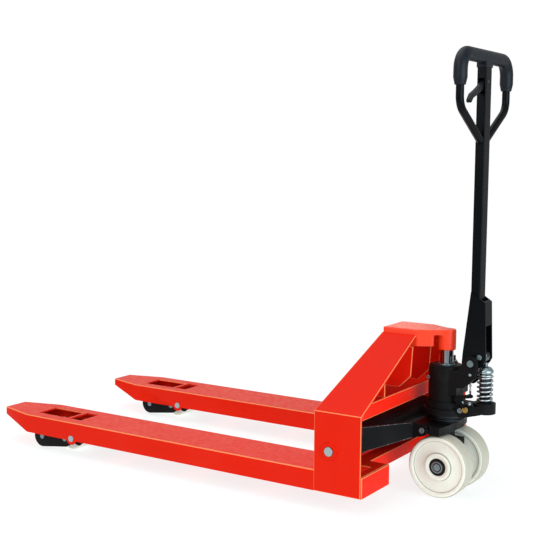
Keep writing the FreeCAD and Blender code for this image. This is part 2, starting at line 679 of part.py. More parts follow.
def ram_gland():
    """Gland ring that seals the ram."""
    gland = fuse(rod_z(23.5, PUMP_X, 0, PUMP_TOP - 8, PUMP_TOP + 1),
                 rod_z(22, PUMP_X, 0, PUMP_TOP, PUMP_TOP + 3))
    return gland.cut(rod_z(RAM_R + FIT, PUMP_X, 0, PUMP_TOP - 9, PUMP_TOP + 4))


def filler_plug():
    """Filler plug that stands beside the ram."""
    return fuse(rod_z(6.8, PLUG_X, PLUG_Y, 340, 356), rod_z(10, PLUG_X, PLUG_Y, PUMP_TOP, 359),
                rod_z(5.5, PLUG_X, PLUG_Y, 358, 373))


def bleed_screw():
    return fuse(rod_y(3.5, BLEED_X, -40, -31.8, BLEED_Z), rod_y(5.5, BLEED_X, -43, -40, BLEED_Z))


def ear_screw():
    shank = rod_y(2.5, EAR_SCREW_X, -EAR_OUT - 1, -EAR_OUT + 5.5, EAR_SCREW_Z)
    return fuse(shank, rod_y(3.8, EAR_SCREW_X, -EAR_OUT - 2, -EAR_OUT - 0.1, EAR_SCREW_Z))


def socket_plug():
    plug = rod_y(6.8, SOCKET_X, -43.5, -34.5, SOCKET_Z)
    return plug.cut(rod_y(3.6, SOCKET_X, -44, -38, SOCKET_Z))


def valve_seat():
    """Brass seat with the release pin."""
    return fuse(rod_y(8.5, SEAT_BOLT_X, -44.4, -41.2, SEAT_BOLT_Z),
                rod_y(4.8, SEAT_BOLT_X, -42, -34.5, SEAT_BOLT_Z),
                rod_y(3, SEAT_BOLT_X, -49, -44, SEAT_BOLT_Z))


def valve_bracket():
    """Small bracket that carries the release lever."""
    foot = box(126, 170, VALVE_BOLT_Y - 5, VALVE_BOLT_Y + 5, 252, 256)
    post = box(128, 136, -44, -34, 252, 276)
    holes = [rod_z(3.4, x, VALVE_BOLT_Y, 251, 257) for x in VALVE_BOLT_X]
    return cut(fuse(foot, post), *holes, rod_y(3, VALVE_PIVOT_X, -45, -33, VALVE_PIVOT_Z))


def valve_bolts():
    return [fuse(rod_z(3.3, x, VALVE_BOLT_Y, 252, 264), rod_z(5.5, x, VALVE_BOLT_Y, 256, 261))
            for x in VALVE_BOLT_X]


def pivot_bolt():
    shank = rod_y(PIVOT_R, PIVOT_X, -EAR_OUT - 6, EAR_OUT + 6, PIVOT_Z)
    heads = [rod_y(8.8, PIVOT_X, -EAR_OUT - 7, -EAR_OUT - 0.2, PIVOT_Z),
             rod_y(12, PIVOT_X, EAR_OUT + 0.2, EAR_OUT + 8, PIVOT_Z)]
    return fuse(shank, *heads)


def steer_axle():
    reach = WHEEL_GAP + WHEEL_WIDTH + 2
    return rod_y(AXLE_R, AXLE_X, -reach, reach, WHEEL_R)


def axle_circlips():
    y = -(WHEEL_GAP + WHEEL_WIDTH)
    ring = rod_y(16, AXLE_X, y - 1.6, y - 0.3, WHEEL_R).cut(rod_y(AXLE_R, AXLE_X, y - 3, y, WHEEL_R))
    return both_sides(ring)


def steer_wheel():
    """Plain wheel with a shallow recessed face and a raised hub ring."""
    outer_y = -(WHEEL_GAP + WHEEL_WIDTH)
    inner_y = -WHEEL_GAP
    half = WHEEL_WIDTH / 2
    bevel = 5.0
    rim_in = 73.0
    hub_out = 38.0
    recess = 7.0
    steps = [(24, half - 1), (hub_out - 2, half - 1), (hub_out, half - recess), (rim_in - 4, half - recess),
             (rim_in, half), (WHEEL_R - bevel, half), (WHEEL_R, half - bevel)]
    section = steps + [(radius, -offset) for radius, offset in reversed(steps)]
    points = [Vector(0, offset, radius) for radius, offset in section]
    face = Part.Face(Part.makePolygon(points + [points[0]]))
    wheel = face.revolve(Vector(0, 0, 0), Y_AXIS, 360)
    wheel.translate(Vector(AXLE_X, (outer_y + inner_y) / 2, WHEEL_R))
    return wheel


def steer_bearings():
    rings = []
    for y0 in (-WHEEL_GAP - WHEEL_WIDTH + 2.5, -WHEEL_GAP - 14.5):
        bore = rod_y(AXLE_R + FIT, AXLE_X, y0 - 1, y0 + 13, WHEEL_R)
        rings.append(rod_y(24, AXLE_X, y0, y0 + 12, WHEEL_R).cut(bore))
    return group(*rings)


def plunger():
    """Plunger with a skirt over its guide and the domed cap that the pump roller presses."""
    stem = rod_z(9, PLUNGER_X, 0, 273, SPRING_TOP + 2)
    skirt = rod_z(SKIRT_R, PLUNGER_X, 0, 292, SPRING_TOP + 2)
    skirt = skirt.cut(rod_z(GUIDE_R + 0.3, PLUNGER_X, 0, 291, SPRING_TOP - 8))
    rim = rod_z(21.5, PLUNGER_X, 0, SPRING_TOP, RIM_TOP)
    dome = Part.makeCone(20.5, 8, DOME_TOP - RIM_TOP, Vector(PLUNGER_X, 0, RIM_TOP), Z_AXIS)
    neck = rod_z(5, PLUNGER_X, 0, RIM_TOP, CAP_TOP)
    return fuse(stem, skirt, rim, dome, neck)


def plunger_spring():
    """Compression spring between the seat and the plunger cap."""
    half_wire = SPRING_WIRE / 2
    low = SEAT_TOP + half_wire + 2.0
    high = SPRING_TOP - half_wire - 2.6
    pitch = (high - low) / SPRING_TURNS
    helix = Part.makeLongHelix(pitch, high - low, SPRING_R)
    profile = Part.Wire(Part.makeCircle(half_wire, Vector(SPRING_R, 0, 0), Y_AXIS))
    coil = Part.Wire(helix.Edges).makePipeShell([profile], True, True)
    coil.translate(Vector(PLUNGER_X, 0, low))
    return coil


def release_lever():
    """Release valve lever, turning on the valve bracket; its end pin takes the chain."""
    hub = (VALVE_PIVOT_X, VALVE_PIVOT_Z, 6.5)
    arm = link_xz([hub, (150, 279, 5), (174, 283, 4.5)], -50, -45)
    toe = link_xz([hub, (153, 252, 4)], -50, -45)
    pin = rod_y(2.9, VALVE_PIVOT_X, -46, -30, VALVE_PIVOT_Z)
    end_pin = rod_y(2.5, CHAIN_X, -46, CHAIN_Y + 3, 281)
    return fuse(arm, toe, pin, end_pin)


def pull_chain():
    """Pull chain to the release lever: flat links, turned in turn, on a thin core."""
    low = 284.0
    high = 350.0
    links = []
    count = 8
    pitch = (high - low) / count
    for step in range(count):
        middle = low + (step + 0.5) * pitch
        turned = step % 2 == 0
        half_x = 3.0 if turned else 1.4
        half_y = 1.4 if turned else 3.0
        links.append(box(CHAIN_X - half_x, CHAIN_X + half_x, CHAIN_Y - half_y, CHAIN_Y + half_y, middle - 3.6,
                         middle + 3.6))
    return fuse(rod_z(1.2, CHAIN_X, CHAIN_Y, low, high), *links)


# ---- handle ----
def handle_bracket():
    """Forked bracket: two side plates with a front and a rear web."""
    outline = [(155, 560), (196, 533), (201, 400), (202, 380), (196, 368), (186, 358), (167, 350), (140, 356),
               (134, 366), (136, 392)]
    side = prism_xz(outline, -24.5, -20.3)
    side = side.cut(rod_y(10, PIVOT_X, -27, -19, PIVOT_Z)).cut(rod_y(6, ROLLER_X, -27, -19, ROLLER_Z))
    rear_web = prism_xz([(198.3, 470), (196, 533), (190, 537), (192.3, 470)], -20.3, 20.3)
    front_web = prism_xz([(136, 392), (141.5, 392), (150, 470), (144.8, 470)], -20.3, 20.3)
    return fuse(side, mirrored(side), rear_web, front_web)


def handle_bushes():
    ring = rod_y(10, PIVOT_X, -29.5, -17, PIVOT_Z).cut(rod_y(PIVOT_R + FIT, PIVOT_X, -30, -10, PIVOT_Z))
    return both_sides(ring)


def pump_roller():
    roller = rod_y(PUMP_ROLLER_R, ROLLER_X, -12, 12, ROLLER_Z)
    return roller.cut(rod_y(6 + FIT, ROLLER_X, -13, 13, ROLLER_Z))


def roller_bolt():
    return fuse(rod_y(6, ROLLER_X, -28, 28, ROLLER_Z), rod_y(6.8, ROLLER_X, -29.3, -24.6, ROLLER_Z),
                rod_y(9, ROLLER_X, 24.6, 29.3, ROLLER_Z))


def handle_tube():
    """Rectangular handle tube with the bent loop welded to its sides."""
    half_x = TUBE_DEPTH / 2
    half_y = TUBE_WIDTH / 2
    top = BAR_Z - 4
    outer = box(TUBE_X - half_x, TUBE_X + half_x, -half_y, half_y, TUBE_BOTTOM, top)
    outer = outer.makeFillet(3.5, [edge for edge in outer.Edges if abs(edge.tangentAt(0).z) > 0.9])
    inner = box(TUBE_X - half_x + TUBE_WALL, TUBE_X + half_x - TUBE_WALL, -half_y + TUBE_WALL,
                half_y - TUBE_WALL, TUBE_BOTTOM - 1, top - TUBE_WALL)
    slot = box(TUBE_X - 8.5, TUBE_X + 8.5, -half_y - 1, -half_y + TUBE_WALL + 1, 1082, 1122)
    pin_hole = rod_x(4, TUBE_X - 20, TUBE_X + 20, 0, TRIGGER_Z)
    tube = cut(outer, inner, slot, pin_hole)
    points = [Vector(TUBE_X, y, z) for y, z in
              ((-14, 958), (-LOOP_HALF, 1046), (-LOOP_HALF, BAR_Z), (LOOP_HALF, BAR_Z), (LOOP_HALF, 1046),
               (14, 958))]
    loop = pipe(rounded_path(points, (45, 42, 42, 45)), LOOP_R)
    return fuse(tube, loop.cut(inner))


def grip():
    """Moulded grip over the top bar and its two legs, with the sleeve at the tube."""
    leg_end = 1097.0
    points = [Vector(TUBE_X, y, z) for y, z in
              ((-LOOP_HALF, leg_end + 18), (-LOOP_HALF, BAR_Z), (LOOP_HALF, BAR_Z), (LOOP_HALF, leg_end + 18))]
    skin = pipe(rounded_path(points, (42, 42)), GRIP_R)
    ends = [Part.makeCone(14, GRIP_R, 18, Vector(TUBE_X, y, leg_end), Z_AXIS) for y in (-LOOP_HALF, LOOP_HALF)]
    sleeve = box(TUBE_X - 15, TUBE_X + 15, -22.5, 22.5, 1150, BAR_Z)
    sleeve = sleeve.makeFillet(4, [edge for edge in sleeve.Edges if abs(edge.tangentAt(0).z) > 0.9])
    core = pipe(rounded_path([Vector(TUBE_X, y, z) for y, z in
                              ((-LOOP_HALF, leg_end - 2), (-LOOP_HALF, BAR_Z), (LOOP_HALF, BAR_Z),
                               (LOOP_HALF, leg_end - 2))], (42, 42)), LOOP_R)
    tube_room = box(TUBE_X - TUBE_DEPTH / 2, TUBE_X + TUBE_DEPTH / 2, -TUBE_WIDTH / 2, TUBE_WIDTH / 2, 1140,
                    BAR_Z - 4)
    return cut(fuse(skin, *ends, sleeve), core, tube_room)


def trigger():
    """Curved finger lever that comes out of the near face of the tube."""
    ends = [(0, TRIGGER_Z, 9), (-20, 1102, 9), (-40, 1092, 8), (-64, 1082, 7), (-88, 1073, 6.5),
            (-100, 1061, 6)]
    lever = link_yz(ends, TUBE_X - 6, TUBE_X + 6)
    return lever.cut(rod_x(4 + FIT, TUBE_X - 8, TUBE_X + 8, 0, TRIGGER_Z))


def trigger_pin():
    return rod_x(4, TUBE_X - 13, TUBE_X + 12.5, 0, TRIGGER_Z)


# ---- write every node ----
for label, sign in SIDES.items():
    save("fork_" + label, on_side(fork(), sign))
    save("push_rod_" + label, on_side(push_rod(), sign))
    save("roller_bracket_" + label, on_side(roller_bracket(), sign))
    save("bracket_axles_" + label, on_side(bracket_axles(), sign))
    save("steer_wheel_" + label, on_side(steer_wheel(), sign))
    save("steer_bearings_" + label, on_side(steer_bearings(), sign))
    for place, (centre_x, centre_z) in load_roller_places().items():
        save("load_roller_" + place + "_" + label, on_side(load_roller(centre_x, centre_z), sign))
        bearings = load_roller_bearings(centre_x, centre_z)
        save("roller_bearings_" + place + "_" + label, on_side(bearings, sign))

save("fork_stiffeners", both_sides(group(*fork_straps(), heel_plate())))
save("side_panels", both_sides(side_panel()))
save("bulkhead", bulkhead())
save("rear_beam", rear_beam())
save("lower_member", lower_member())
save("frame_ribs", both_sides(group(inner_rib(), gusset_rib())))
save("head_casting", head_casting())
save("lift_ram", lift_ram())
save("rocker_shaft", rocker_shaft())
save("shaft_collars", shaft_collars())
save("bracket_pins", bracket_pins())
save("bracket_spacers", bracket_spacers())
save("rocker", rocker())
save("rocker_pins", both_sides(group(ear_pin(), rod_pin())))
save("thrust_plate", thrust_plate())
save("bearing_washer_lower", ring_z(BEARING_R, BEARING_BORE, BEARING_BOTTOM, BEARING_BOTTOM + WASHER))
save("ball_ring", ball_ring())
save("bearing_washer_upper", ring_z(BEARING_R, BEARING_BORE, BEARING_TOP - WASHER, BEARING_TOP))
save("pump_housing", pump_housing())
save("reservoir_cap", reservoir_cap())
save("ram_gland", ram_gland())
save("pump_plugs", group(filler_plug(), socket_plug()))
save("valve_seat", valve_seat())
save("valve_bracket", valve_bracket())
save("pump_screws", group(bleed_screw(), ear_screw(), *valve_bolts()))
save("pivot_bolt", pivot_bolt())
save("steer_axle", steer_axle())
save("axle_circlips", axle_circlips())
save("plunger", plunger())
save("plunger_spring", plunger_spring())
save("release_lever", release_lever())
save("pull_chain", pull_chain())
save("handle_bracket", handle_bracket())
save("handle_bushes", handle_bushes())
save("pump_roller", pump_roller())
save("roller_bolt", roller_bolt())
save("handle_tube", handle_tube())
save("grip", grip())
save("trigger", trigger())
save("trigger_pin", trigger_pin())
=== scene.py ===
import json
import math

import bmesh
import bpy
from mathutils import Matrix, Vector, noise


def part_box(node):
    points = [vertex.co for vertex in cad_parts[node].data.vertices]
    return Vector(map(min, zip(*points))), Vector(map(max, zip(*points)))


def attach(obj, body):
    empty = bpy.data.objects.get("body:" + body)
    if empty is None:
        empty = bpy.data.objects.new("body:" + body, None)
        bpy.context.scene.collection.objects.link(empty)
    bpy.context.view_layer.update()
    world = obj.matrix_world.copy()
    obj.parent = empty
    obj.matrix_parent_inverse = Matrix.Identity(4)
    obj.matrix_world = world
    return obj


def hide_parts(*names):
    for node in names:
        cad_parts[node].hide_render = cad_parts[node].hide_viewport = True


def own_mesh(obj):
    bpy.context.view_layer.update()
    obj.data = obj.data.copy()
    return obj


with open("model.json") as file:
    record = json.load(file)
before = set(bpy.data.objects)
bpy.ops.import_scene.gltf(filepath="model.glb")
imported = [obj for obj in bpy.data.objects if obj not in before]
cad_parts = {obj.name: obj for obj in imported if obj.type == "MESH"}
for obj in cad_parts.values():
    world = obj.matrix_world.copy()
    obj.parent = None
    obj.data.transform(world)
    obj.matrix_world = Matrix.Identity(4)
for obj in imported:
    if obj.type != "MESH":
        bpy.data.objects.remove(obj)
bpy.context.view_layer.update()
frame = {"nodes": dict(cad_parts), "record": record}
nodes = frame["nodes"]
body_of_node = {node: body for body, members in frame["record"]["behaviour"]["bodies"].items()
                for node in members}

# Material slots of a piece; slot 0 holds its main look, slot 1 the look of its rounded edges, which on most
# pieces is a painted highlight.
EDGE_LOOK = 1
SECOND_LOOK = 2
# A fold between two faces, in radians, over which the edge counts as sharp.
SHARP_FOLD = 0.35
# Vertices nearer to each other than this, in metres, are joined.
CAD_WELD = 2e-5
SHEET_WELD = 8e-4


# ---- materials ----
class Shader:
    """One Principled material whose detail comes from nodes."""

    def __init__(self, name, colour, roughness, metallic=0.0, specular=0.5, subsurface=0.0):
        self.material = bpy.data.materials.new(name)
        self.material.use_nodes = True
        self.tree = self.material.node_tree
        self.tree.nodes.clear()
        output = self.tree.nodes.new("ShaderNodeOutputMaterial")
        self.shader = self.tree.nodes.new("ShaderNodeBsdfPrincipled")
        self.link(self.shader.outputs[0], output.inputs[0])
        self.set("Base Color", (*colour, 1))
        self.set("Roughness", roughness)
        self.set("Metallic", metallic)
        self.set("Specular IOR Level", specular)
        if subsurface:
            self.set("Subsurface Weight", subsurface)
            self.set("Subsurface Radius", (0.004, 0.003, 0.002))
            self.set("Subsurface Scale", 1.0)
        self.place = self.tree.nodes.new("ShaderNodeTexCoord").outputs["Object"]
        self.normal = None

    def set(self, socket, value):
        self.shader.inputs[socket].default_value = value

    def link(self, start, end):
        self.tree.links.new(start, end)

    def stretched(self, scale):
        mapping = self.tree.nodes.new("ShaderNodeMapping")
        mapping.inputs["Scale"].default_value = scale
        self.link(self.place, mapping.inputs["Vector"])
        return mapping.outputs[0]

    def noise(self, scale, detail=3.0, rough=0.5, stretch=None):
        node = self.tree.nodes.new("ShaderNodeTexNoise")
        node.inputs["Scale"].default_value = scale
        node.inputs["Detail"].default_value = detail
        node.inputs["Roughness"].default_value = rough
        self.link(self.stretched(stretch) if stretch else self.place, node.inputs["Vector"])
        return node.outputs["Fac"]

    def ramp(self, value, stops):
        node = self.tree.nodes.new("ShaderNodeValToRGB")
        elements = node.color_ramp.elements
        while len(elements) < len(stops):
            elements.new(0.5)
        for element, (position, colour) in zip(elements, stops):
            element.position = position
            element.color = (*colour, 1)
        self.link(value, node.inputs[0])
        return node.outputs[0]

    def spread(self, value, low, high, low_in=0.3, high_in=0.7):
        node = self.tree.nodes.new("ShaderNodeMapRange")
        node.inputs["From Min"].default_value = low_in
        node.inputs["From Max"].default_value = high_in
        node.inputs["To Min"].default_value = low
        node.inputs["To Max"].default_value = high
        self.link(value, node.inputs["Value"])
        return node.outputs[0]

    def mix(self, factor, first, second):
        node = self.tree.nodes.new("ShaderNodeMix")
        node.data_type = "RGBA"
        for index, value in ((0, factor), (6, first), (7, second)):
            if isinstance(value, bpy.types.NodeSocket):
                self.link(value, node.inputs[index])
            elif index:
                node.inputs[index].default_value = (*value, 1)
            else:
                node.inputs[index].default_value = value
        return node.outputs[2]

    def colour(self, socket):
        self.link(socket, self.shader.inputs["Base Color"])

    def roughness(self, socket):
        self.link(socket, self.shader.inputs["Roughness"])

    def bump(self, height, strength, distance):
        node = self.tree.nodes.new("ShaderNodeBump")
        node.inputs["Strength"].default_value = strength
        node.inputs["Distance"].default_value = distance
        self.link(height, node.inputs["Height"])
        if self.normal is not None:
            self.link(self.normal, node.inputs["Normal"])
        self.normal = node.outputs[0]
        self.link(self.normal, self.shader.inputs["Normal"])


def tinted(colour, factor):
    return tuple(min(1.0, channel * factor) for channel in colour)


def paint(name, colour, roughness, peel, chips=None, dust=0.04, specular=0.3):
    """Sprayed paint: orange peel, a slow drift of shade, a little dust and fine scuffs."""
    made = Shader(name, colour, roughness, specular=specular)
    drift = made.noise(2.6, 2.0)
    base = made.mix(drift, tinted(colour, 0.92), tinted(colour, 1.08))
    grime = made.ramp(made.noise(9, 7.0, 0.62), [(0.48, (0, 0, 0)), (0.8, (dust, dust, dust))])
    base = made.mix(grime, base, (0.16, 0.13, 0.11))
    if chips:
        worn = made.ramp(made.noise(170, 4.0, 0.7), [(0.56, (0, 0, 0)), (0.62, (1, 1, 1))])
        base = made.mix(worn, base, chips)
    made.colour(base)
    scuff = made.noise(70, 5.0, 0.65, stretch=(1.0, 1.0, 5.0))
    made.roughness(made.spread(scuff, roughness * 0.8, roughness * 1.35))
    made.bump(made.noise(420, 2.0), peel, 0.0006)
    made.bump(made.noise(60, 2.0), peel * 0.5, 0.002)
    return made.material


def cast_paint(name, colour, roughness):
    """Satin paint over sand-cast metal."""
    made = Shader(name, colour, roughness, specular=0.1)
    base = made.mix(made.noise(6, 3.0), tinted(colour, 0.8), tinted(colour, 1.25))
    dust = made.ramp(made.noise(16, 7.0, 0.66), [(0.5, (0, 0, 0)), (0.82, (0.1, 0.1, 0.1))])
    made.colour(made.mix(dust, base, (0.1, 0.095, 0.09)))
    made.roughness(made.spread(made.noise(55, 5.0), roughness * 0.8, roughness * 1.3))
    made.bump(made.noise(520, 3.0, 0.6), 0.35, 0.0006)
    made.bump(made.noise(90, 3.0), 0.25, 0.0016)
    return made.material


def metal(name, colour, roughness, grain=(1, 1, 1), depth=0.12, tarnish=0.25, second=None):
    """Bare or plated metal: brushed grain, blotchy plating and fine marks."""
    made = Shader(name, colour, roughness, metallic=1.0)
    blotch = made.noise(60, 5.0, 0.6)
    other = second or tinted(colour, 0.7)
    made.colour(made.mix(made.spread(blotch, 0.0, tarnish * 2), colour, other))
    lines = made.noise(380, 3.0, 0.6, stretch=grain)
    made.roughness(made.spread(lines, roughness * 0.7, roughness * 1.5))
    made.bump(lines, depth, 0.0003)
    return made.material


def nylon(name, colour):
    """Cast nylon: waxy, faintly mottled, with handling marks."""
    made = Shader(name, colour, 0.42, specular=0.45, subsurface=0.08)
    mottled = made.mix(made.noise(9, 3.0), tinted(colour, 0.93), tinted(colour, 1.04))
    marks = made.ramp(made.noise(40, 7.0, 0.72), [(0.54, (0, 0, 0)), (0.8, (0.2, 0.2, 0.2))])
    made.colour(made.mix(marks, mottled, (0.5, 0.47, 0.4)))
    made.roughness(made.spread(made.noise(80, 4.0), 0.34, 0.56))
    made.bump(made.noise(300, 3.0), 0.1, 0.0006)
    made.bump(made.noise(38, 2.0), 0.12, 0.0015)
    return made.material


def moulded(name, colour, roughness, grain=0.25):
    """Moulded plastic or rubber with a fine spark-eroded grain."""
    made = Shader(name, colour, roughness, specular=0.22)
    made.colour(made.mix(made.noise(11, 3.0), tinted(colour, 0.8), tinted(colour, 1.25)))
    made.roughness(made.spread(made.noise(120, 4.0), roughness * 0.85, roughness * 1.2))
    made.bump(made.noise(900, 2.0, 0.6), grain, 0.0004)
    made.bump(made.noise(130, 2.0), grain * 0.4, 0.0008)
    return made.material


RED = (0.76, 0.014, 0.002)
BLACK = (0.005, 0.005, 0.0055)
red_paint = paint("red_powder_coat", RED, roughness=0.36, peel=0.05, specular=0.07)
# A brighter copy of the red paint for the pieces and welds inside the frame: painted light on its shaded
# inside.
red_inner_painted_light = paint("red_powder_coat_painted_light", (1.0, 0.018, 0.006), roughness=0.4, peel=0.05, dust=0.02,
                  specular=0.05)
# Peach edge paint: a painted highlight on the rounded edges of the red parts.
red_edge_highlight = paint("red_powder_coat_painted_highlight", (1.0, 0.27, 0.10), roughness=0.34, peel=0.04, dust=0.02,
                 specular=0.2)
# The head casting's paint: a glossier finish, and a brighter, more orange copy of the red that is painted
# light over the whole casting.
red_cast_painted_light = paint("red_cast_paint_painted_light", (1.0, 0.05, 0.012), roughness=0.3, peel=0.08, dust=0.02, specular=0.34)
black_paint = paint("black_enamel", BLACK, roughness=0.46, peel=0.06, dust=0.06, specular=0.08)
# Dark grey enamel: a painted highlight on the rounded edges of the black parts, and the dark look of the
# plugs and the plunger skirt.
dark_enamel_and_edge_highlight = paint("dark_enamel_and_painted_highlight", (0.03, 0.032, 0.036), roughness=0.36, peel=0.06, specular=0.2)
# Grey edge paint with bare chips on the rocker: real wear, lightened as a painted highlight.
worn_edge_and_highlight = paint("black_enamel_worn_and_painted_highlight", (0.05, 0.05, 0.05), roughness=0.4, peel=0.1, chips=(0.4, 0.39, 0.37))
black_cast = cast_paint("black_cast_iron", BLACK, roughness=0.46)
handle_paint = paint("handle_enamel", (0.001, 0.002, 0.003), roughness=0.28, peel=0.05, dust=0.02,
                     specular=0.1)
zinc = metal("bright_zinc", (0.40, 0.48, 0.50), roughness=0.26, second=(0.24, 0.34, 0.36))
zinc_dull = metal("dull_zinc", (0.22, 0.30, 0.32), roughness=0.4, second=(0.13, 0.2, 0.22))
steel = metal("ground_steel", (0.22, 0.24, 0.25), roughness=0.3, grain=(1, 6, 1))
race_steel = metal("bearing_race", (0.035, 0.04, 0.045), roughness=0.34, grain=(1, 1, 6))
chrome = metal("hard_chrome", (0.30, 0.32, 0.34), roughness=0.09, grain=(1, 1, 0.08), depth=0.04,
               tarnish=0.08)
spring_wire = metal("spring_wire", (0.55, 0.59, 0.61), roughness=0.26, depth=0.08)
brass = metal("machined_brass", (0.45, 0.29, 0.07), roughness=0.26, second=(0.28, 0.18, 0.05))
cream = nylon("cast_nylon", (0.88, 0.88, 0.77))
# A darker copy of the nylon on the wheel treads: painted shade.
cream_tread_shade = nylon("cast_nylon_tread_painted_shade", (0.52, 0.48, 0.38))
# Darker nylon for thin lines at the wheel's steps and shoulder edges: painted shade.
cream_corner_shade = nylon("cast_nylon_corner_painted_shade", (0.40, 0.36, 0.28))
seal = moulded("seal_rubber", (0.006, 0.006, 0.007), roughness=0.5, grain=0.15)
grip_plastic = moulded("grip_plastic", (0.006, 0.009, 0.014), roughness=0.42)
trigger_plastic = moulded("trigger_plastic", (0.007, 0.008, 0.010), roughness=0.4)


# ---- mesh helpers ----
def cad_mesh(node, weld=CAD_WELD):
    """A clean copy of a CAD node's mesh, with vertices closer than weld joined and its flat faces whole."""
    made = bmesh.new()
    made.from_mesh(nodes[node].data)
    bmesh.ops.remove_doubles(made, verts=made.verts, dist=weld)
    bmesh.ops.dissolve_limit(made, angle_limit=math.radians(0.4), verts=made.verts, edges=made.edges)
    return made


def piece(name, made, body, material, replaced=(), extra=()):
    """A smooth-shaded object from a bmesh, riding on a CAD body."""
    mesh = bpy.data.meshes.new(name)
    made.to_mesh(mesh)
    made.free()
    for one in (material, *extra):
        mesh.materials.append(one)
    mesh.shade_smooth()
    shape = bpy.data.objects.new(name, mesh)
    bpy.context.scene.collection.objects.link(shape)
    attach(shape, body)
    if replaced:
        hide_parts(*replaced)
    return shape


def soften(shape, width, segments, angle, edge_look):
    """Rounds every edge of a piece that folds by more than angle, in degrees."""
    bevel = shape.modifiers.new("edges", "BEVEL")
    bevel.width = width
    bevel.segments = segments
    bevel.limit_method = "ANGLE"
    bevel.angle_limit = math.radians(angle)
    bevel.harden_normals = True
    bevel.material = edge_look
    bevel.use_clamp_overlap = True
    weighted = shape.modifiers.new("normals", "WEIGHTED_NORMAL")
    weighted.keep_sharp = True
    weighted.weight = 80


def from_node(node, material, width, segments, angle=32, edge=None, prepare=None, second=None,
              weld=CAD_WELD):
    """The piece that stands for one CAD node, with rounded edges; prepare may give faces the second look."""
    made = cad_mesh(node, weld)
    if prepare:
        prepare(made)
    extra = [edge or material] + ([second] if second else [])
    shape = piece(node + ".look", made, body_of_node[node], material, [node], extra)
    soften(shape, width, segments, angle, EDGE_LOOK if edge else 0)


def round_edges(made, chosen, width, segments, look=-1, clamp=False):
    """Rounds chosen edges of a bmesh; look is the slot of the new faces, or -1 to take their neighbours'."""
    edges = [edge for edge in made.edges if chosen(edge)]
    if edges:
        bmesh.ops.bevel(made, geom=edges, offset=width, offset_type="OFFSET", segments=segments,
                        profile=0.5, affect="EDGES", clamp_overlap=clamp, material=look)


def lathe(name, profile, centre, axis, body, material, replaced=(), steps=72, bands=()):
    """Turns a closed profile of (radius, offset) about Y or Z; bands pairs a material with band numbers."""
    look_of_band = {number: index + 1 for index, (_, numbers) in enumerate(bands) for number in numbers}
    made = bmesh.new()
    rings = []
    for radius, offset in profile:
        ring = []
        for step in range(steps):
            angle = math.tau * step / steps
            across, up = radius * math.cos(angle), radius * math.sin(angle)
            place = {"Y": (up, offset, across), "Z": (across, up, offset)}[axis]
            ring.append(made.verts.new(Vector(centre) + Vector(place)))
        rings.append(ring)
    for band, (first, second) in enumerate(zip(rings, rings[1:] + rings[:1])):
        for step in range(steps):
            after = (step + 1) % steps
            face = made.faces.new((first[step], first[after], second[after], second[step]))
            face.material_index = look_of_band.get(band, 0)
    bmesh.ops.recalc_face_normals(made, faces=made.faces)
    piece(name, made, body, material, replaced, [look for look, _ in bands])


def tube(name, path, radius, body, material, sides, replaced=()):
    """Sweeps a round section along a path; radius may be a number or one value for each point."""
    made = bmesh.new()
    count = len(path)
    radii = radius if isinstance(radius, (list, tuple)) else [radius] * count
    rings = []
    normal = None
    for index, point in enumerate(path):
        before, after = path[max(0, index - 1)], path[min(count - 1, index + 1)]
        tangent = (Vector(after) - Vector(before)).normalized()
        if normal is None:
            seed = Vector((0, 0, 1)) if abs(tangent.z) < 0.9 else Vector((1, 0, 0))
            normal = tangent.cross(seed).normalized()
        normal = (normal - tangent * normal.dot(tangent)).normalized()
        side = tangent.cross(normal)
        ring = []
        for step in range(sides):
            angle = math.tau * step / sides
            offset = (normal * math.cos(angle) + side * math.sin(angle)) * radii[index]
            ring.append(made.verts.new(Vector(point) + offset))
        rings.append(ring)
    for first, second in zip(rings, rings[1:]):
        for step in range(sides):
            after = (step + 1) % sides
            made.faces.new((first[step], first[after], second[after], second[step]))
    made.faces.new(list(reversed(rings[0])))
    made.faces.new(rings[-1])
    bmesh.ops.recalc_face_normals(made, faces=made.faces)
    return piece(name, made, body, material, replaced)


def weld_bead(name, path, radius, body, material):
    """A welded bead with the small waves that the weld pool leaves and thin ends."""
    step_length = 0.0014
    points = []
    for start, end in zip(path, path[1:]):
        start, end = Vector(start), Vector(end)
        count = max(2, int((end - start).length / step_length))
        points += [start.lerp(end, step / count) for step in range(count)]
    points.append(Vector(path[-1]))
    radii = []
    for index in range(len(points)):
        wave = 0.1 * math.sin(index * math.tau / 3.0) + 0.12 * noise.noise(points[index] * 60)
        taper = min(1.0, 0.35 + 0.3 * min(index, len(points) - 1 - index))
        radii.append(radius * (1 + wave) * taper)
    tube(name, points, radii, body, material, 8)


def ring_path(centre, radius, steps=64):
    """A closed circle about Y."""
    points = []
    for step in range(steps + 1):
        angle = math.tau * step / steps
        place = (radius * math.cos(angle), 0, radius * math.sin(angle))
        points.append(Vector(centre) + Vector(place))
    return points


def remeshed(node, material, voxel, rounds, prepare):
    """A cast piece: the CAD shape melted to soft corners and fillets."""
    made = cad_mesh(node)
    prepare(made)
    shape = piece(node + ".look", made, body_of_node[node], material, [node])
    melt = shape.modifiers.new("cast", "REMESH")
    melt.mode = "VOXEL"
    melt.voxel_size = voxel
    melt.use_smooth_shade = True
    relax = shape.modifiers.new("relax", "SMOOTH")
    relax.factor = 0.5
    relax.iterations = rounds


def middle(node):
    low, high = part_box(node)
    return (low + high) / 2


def fold_angle(edge):
    return edge.calc_face_angle(0.0) if len(edge.link_faces) == 2 else 0.0


def long_rim(made, length, width, level=None):
    """Rounds sharp edges longer than length; with a level, only those that lie at or above it."""
    def chosen(edge):
        ends = [vertex.co for vertex in edge.verts]
        high_enough = level is None or all(end.z >= level for end in ends)
        return high_enough and fold_angle(edge) > SHARP_FOLD and edge.calc_length() > length

    round_edges(made, chosen, width, segments=3, look=EDGE_LOOK)


